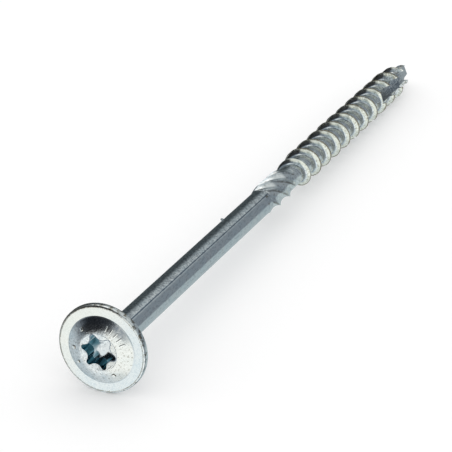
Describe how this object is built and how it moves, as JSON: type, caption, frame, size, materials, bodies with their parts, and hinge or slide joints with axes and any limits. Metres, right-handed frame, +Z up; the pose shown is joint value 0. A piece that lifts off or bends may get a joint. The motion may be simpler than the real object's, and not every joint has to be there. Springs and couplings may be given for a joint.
{
  "type": "timber screw",
  "caption": "Long partially threaded timber screw with a broad washer head, six-lobe drive recess, reamer ribs and a slotted tip.",
  "frame": {"origin": "centre of the bounding box in plan, on the floor that the screw lies on", "axes": "+X along the screw from head to tip, +Z up from the floor, +Y across"},
  "size_m": [0.1324, 0.014, 0.014],
  "materials": {
    "zinc": "bright blue-white zinc plating on carbon steel"
  },
  "bodies": {
    "root": {"screw": "zinc"}
  },
  "joints": []
}
